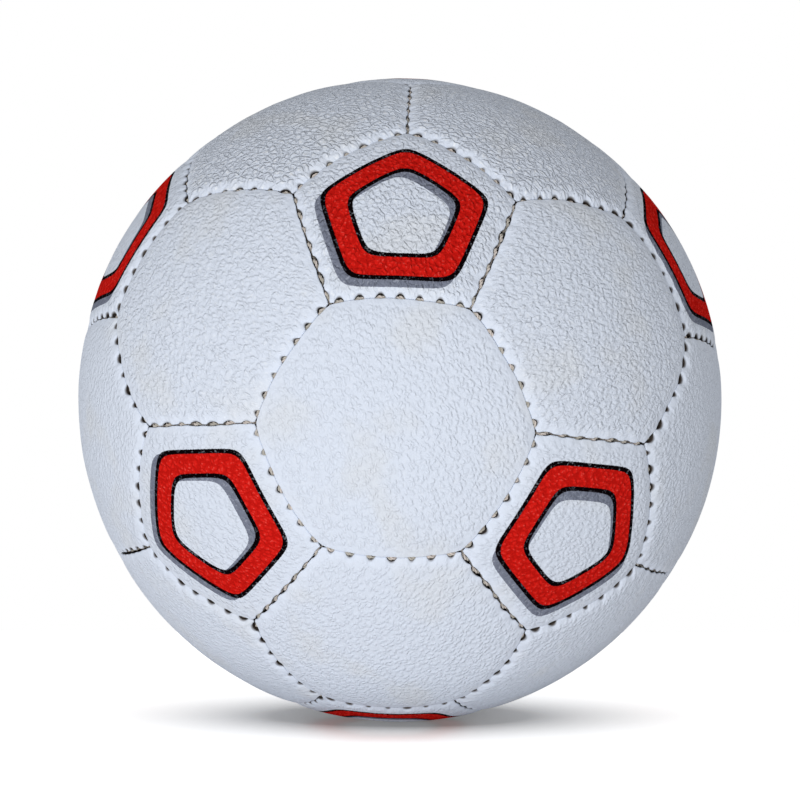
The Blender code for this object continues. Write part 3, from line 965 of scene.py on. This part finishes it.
studio = {
    "floorSize": 0.30,
    "floorColour": (0.806, 0.792, 0.774),
    "floorRoughness": 0.9,
    "floorGlow": 0.80,
    "floorBounce": 0.15,  # part of the glow that lights the ball
    "glowFrom": (38.0, 122.0),  # mm from the point of contact: least at the first, all at the second; the weaker glow near the ball is a painted shadow
    "glowLeast": 0.15,
    "glowDepth": 2.4,  # how much shorter the painted shadow is from front to back
    "ambient": (0.49, 0.40, 0.77),  # from above, from the sides and from below
    "lights": {  # place, size and power
        "front_softbox": (-0.52, -2.25, -0.10, 1.2, 30.3),
        "left_softbox": (-1.59, 1.59, -0.48, 1.2, 7.0),
        "right_softbox": (1.15, 1.99, 0.10, 1.2, 8.5),
    },
    "tilt": 2.0,  # degrees; the photographed ball stands turned by this about the line of sight
}

cameraSet = {
    "distance": 0.8873,
    "azimuth": 0.609,
    "elevation": 5.059,
    "lens": 136.07,
    "sensor": 36.0,  # mm, in a square picture
}


def seenDirectly(start):  # 1 for the rays that show the backdrop, 0 for those that light the ball
    path = start.node("LightPath", {}, {}, "Is Camera Ray")
    outputs = path.socket.node.outputs
    glossy, through = (Flow(start.tree, outputs[name]) for name in ("Is Glossy Ray", "Is Transmission Ray"))
    return path.maths("MAXIMUM", path.maths("MAXIMUM", path, glossy), through)


def makeWorld():
    world = bpy.data.worlds.new("studio")
    bpy.context.scene.world = world
    world.use_nodes = True
    start = Flow(world.node_tree)
    shown = seenDirectly(start)
    above, beside, below = studio["ambient"]
    direction = start.node("TexCoord", {}, {}, "Generated")
    height = start.node("SeparateXYZ", {}, {0: direction}, "Z")
    ambient = beside + height.rise(0.0, 1.0) * (above - beside)
    ambient = ambient + (0 - height).rise(0.0, 1.0) * (below - beside)
    strength = shown + (1 - shown) * ambient
    background = world.node_tree.nodes["Background"]
    background.inputs["Color"].default_value = (1, 1, 1, 1)
    world.node_tree.links.new(strength.socket, background.inputs["Strength"])


def makeFloor():
    half = studio["floorSize"] / 2
    mesh = bpy.data.meshes.new("floor")
    corners = [(-half, -half, 0), (half, -half, 0), (half, half, 0), (-half, half, 0)]
    mesh.from_pydata(corners, [], [(0, 1, 2, 3)])
    floor = bpy.data.objects.new("floor", mesh)
    bpy.context.scene.collection.objects.link(floor)
    turn = Matrix.Rotation(-math.radians(studio["tilt"]), 4, "Y")
    floor.matrix_world = turn @ Matrix.Translation((0, 0, -ballRadius * mm))
    fixed = {"Roughness": studio["floorRoughness"], "Specular IOR Level": 0.0}
    material, start, shader = newMaterial("floor_paint", fixed)
    shader.inputs["Base Color"].default_value = (*studio["floorColour"], 1)
    place = start.node("TexCoord", {}, {}, "Object").spread((1.0, studio["glowDepth"], 1.0))
    far = place.node("VectorMath", {"operation": "LENGTH"}, {0: place}, "Value")
    near, away = (distance * mm for distance in studio["glowFrom"])
    fade = {"Value": far, "From Min": near, "From Max": away, "To Min": 1.0, "To Max": 0.0}
    # the floor glows less near the ball: a painted shadow round the point of contact; part of the glow also
    # lights the ball
    paintedFloorShadow = start.node("MapRange", {}, fade)
    bounce = studio["floorBounce"]
    glow = (1 - paintedFloorShadow * paintedFloorShadow * (1 - studio["glowLeast"])) * studio["floorGlow"]
    glow = glow * (bounce + seenDirectly(start) * (1 - bounce))
    shine = start.node("CombineColor", {}, {0: glow, 1: glow, 2: glow})
    wire(material, shader, {"Emission Color": shine})
    shader.inputs["Emission Strength"].default_value = 1.0
    mesh.materials.append(material)


def addLight(name, settings):
    *place, size, power = settings
    light = bpy.data.lights.new(name, "AREA")
    light.shape = "DISK"
    light.size = size
    light.energy = power
    lamp = bpy.data.objects.new(name, light)
    lamp.location = place
    lamp.rotation_euler = (-Vector(place)).to_track_quat("-Z", "Y").to_euler()
    bpy.context.scene.collection.objects.link(lamp)


def addCamera():
    lens = bpy.data.cameras.new("camera")
    lens.sensor_width = cameraSet["sensor"]
    lens.lens = cameraSet["lens"]
    camera = bpy.data.objects.new("camera", lens)
    azimuth, elevation = (math.radians(cameraSet[name]) for name in ("azimuth", "elevation"))
    back = Vector((math.sin(azimuth) * math.cos(elevation), -math.cos(azimuth) * math.cos(elevation),
                   math.sin(elevation)))
    aim = back.to_track_quat("Z", "Y").to_matrix().to_4x4()
    roll = Matrix.Rotation(math.radians(studio["tilt"]), 4, "Z")
    camera.matrix_world = Matrix.Translation(back * cameraSet["distance"]) @ aim @ roll
    bpy.context.scene.collection.objects.link(camera)
    bpy.context.scene.camera = camera


makeWorld()
makeFloor()
for name, settings in studio["lights"].items():
    addLight(name, settings)
addCamera()
bpy.context.scene.view_settings.view_transform = "Standard"
print("studio: floor, softboxes and camera set")
